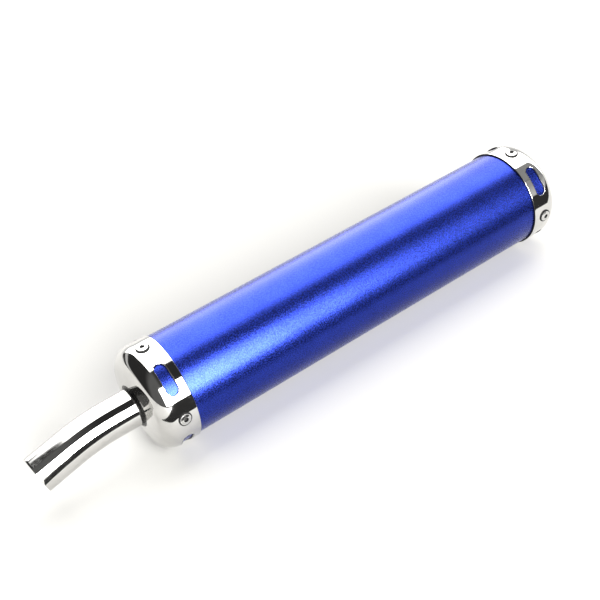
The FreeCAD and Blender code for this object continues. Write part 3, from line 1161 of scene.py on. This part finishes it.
def mandrel_outline(rivet, wall):
    """(height above the band, radius) from the torn tip, down the stem, to the middle of the ball."""
    stem, ball = mm(1.04), mm(1.8)
    seat = -wall - BLIND_LENGTH
    below = mm(-0.1)
    tip = [
        (mm(0.0), 0.0), (mm(0.05), mm(0.28)), (mm(0.22), mm(0.55)), (mm(0.29), mm(0.8)),
        (mm(0.12), mm(0.98)),
    ]
    points = tip + [(below, stem)]
    points += [(place, stem) for place in rows(below, seat, mm(1.0))]
    points.append((seat, stem))
    return points + sweep((seat, 0.0), ball, 90, 180, 12)


class SILENCER_OT_rivets(bpy.types.Operator):
    """Makes the blind rivets and their broken mandrels round both caps"""

    bl_idname = "silencer.rivets"
    bl_label = "Rivets"

    def execute(self, context):
        settings = context.scene.silencer
        rivet, cap = settings.rivet, settings.cap
        wall = cap.radius - (settings.can.radius - settings.can.wall)
        steel = rivet_finish(rivet.colour, rivet.bore, rivet.rim)
        kinds = (
            ("rivets", rivet_outline, steel, "rivet_steel", "_rivet_"),
            ("mandrels", mandrel_outline, mandrel_finish(), "mandrel_steel", "_rivet_mandrel_"),
        )
        for end in ENDS:
            turn = 0.0 if end == "inlet" else cap.turn
            for label, outline, finish, slot, node in kinds:
                ring = turned(f"{end.capitalize()}_{label}", outline(rivet, wall), finish, RIVET_SIDES)
                run_tree(
                    ring, TREES["rivet ring"], finish, Count=rivet.count, Turn=turn,
                    Ring=SIDE[end] * rivet.ring, Seat_Radius=cap.radius, Lip=mm(0.25),
                )
                closed_skin(ring, 50.0)
                stands_for(ring, slot, *(f"{end}{node}{number}" for number in range(1, rivet.count + 1)))
        return {"FINISHED"}


class SILENCER_OT_core(bpy.types.Operator):
    """Gives the perforated core its bare steel finish"""

    bl_idname = "silencer.core"
    bl_label = "Core"

    def execute(self, context):
        core = frame["nodes"]["core_tube"]
        steel = core_finish()
        for slot in core.material_slots:
            slot.material = steel
        return {"FINISHED"}


class SILENCER_OT_packing(bpy.types.Operator):
    """Rolls the glass-wool mat round the core"""

    bl_idname = "silencer.packing"
    bl_label = "Packing"

    def execute(self, context):
        inside = context.scene.silencer.inside
        thickness_share, margin = 0.86, mm(0.25)
        span = inside.mat_outside - inside.mat_inside - 2 * margin
        pitch = span / (inside.turns + thickness_share)
        half = pitch * thickness_share / 2
        end = inside.mat_length / 2 - mm(0.3)
        round_edge = half * 0.9
        outline = tube_outline(half, -half, -end, end, mm(3.4), round_edge)
        weighted = [
            (along, offset, 1.0 if abs(along) > end - round_edge else 0.0) for along, offset in outline
        ]
        wool = wool_finish(inside.wool)
        mat = linked("Packing", outline_mesh("Packing", weighted))
        run_tree(
            mat, TREES["rolled mat"], wool, Steps=300, Turns=inside.turns,
            Inside_Radius=inside.mat_inside + margin + half, Pitch=pitch, Lump=mm(0.45), Seed=3.0,
        )
        closed_skin(mat, 60.0)
        stands_for(mat, "glass_wool", "packing")
        return {"FINISHED"}


class SILENCER_PT_sidebar(bpy.types.Panel):
    """Lists the silencer's pieces and their sizes"""

    bl_idname = "SILENCER_PT_sidebar"
    bl_label = "Silencer"
    bl_space_type = "VIEW_3D"
    bl_region_type = "UI"
    bl_category = "Silencer"

    def draw(self, context):
        settings = context.scene.silencer
        for part, operators in PANEL_ROWS:
            box = self.layout.box()
            for operator in operators:
                box.operator(operator.bl_idname)
            group = getattr(settings, part)
            for label in group.bl_rna.properties.keys():
                if label not in ("rna_type", "name"):
                    box.prop(group, label)


class SilencerSettings(bpy.types.PropertyGroup):
    can: PointerProperty(name="Can", description="Sizes and colours of the can", type=CanSettings)
    cap: PointerProperty(name="End caps", description="Sizes and colours of the caps", type=CapSettings)
    pipe: PointerProperty(name="Pipes", description="Sizes of the pipes and welds", type=PipeSettings)
    rivet: PointerProperty(name="Rivets", description="Sizes and colours of the rivets", type=RivetSettings)
    inside: PointerProperty(
        name="Inside", description="Sizes and colours of the packing", type=InsideSettings
    )
    stage: PointerProperty(name="Stage", description="Camera and floor", type=StageSettings)


OPERATORS = (
    SILENCER_OT_stage, SILENCER_OT_can, SILENCER_OT_end_caps, SILENCER_OT_pipes, SILENCER_OT_welds,
    SILENCER_OT_rivets, SILENCER_OT_core, SILENCER_OT_packing,
)
PANEL_ROWS = (
    ("stage", (SILENCER_OT_stage,)),
    ("can", (SILENCER_OT_can,)),
    ("cap", (SILENCER_OT_end_caps,)),
    ("pipe", (SILENCER_OT_pipes, SILENCER_OT_welds)),
    ("rivet", (SILENCER_OT_rivets,)),
    ("inside", (SILENCER_OT_core, SILENCER_OT_packing)),
)
CLASSES = (
    CanSettings, CapSettings, PipeSettings, RivetSettings, InsideSettings, StageSettings, SilencerSettings,
    *OPERATORS, SILENCER_PT_sidebar,
)


def register():
    for made in CLASSES:
        bpy.utils.register_class(made)
    bpy.types.Scene.silencer = PointerProperty(
        name="Silencer", description="Settings of the silencer", type=SilencerSettings
    )


def unregister():
    del bpy.types.Scene.silencer
    for made in reversed(CLASSES):
        bpy.utils.unregister_class(made)


def main():
    register()
    TREES["turned wall"] = turned_wall_tree()
    TREES["punched wall"] = punched_wall_tree()
    TREES["rivet ring"] = rivet_ring_tree()
    TREES["rolled mat"] = rolled_mat_tree()
    bpy.ops.silencer.stage()
    bpy.ops.silencer.can()
    bpy.ops.silencer.end_caps()
    bpy.ops.silencer.pipes()
    bpy.ops.silencer.welds()
    bpy.ops.silencer.rivets()
    bpy.ops.silencer.core()
    bpy.ops.silencer.packing()


if __name__ == "__main__":
    main()
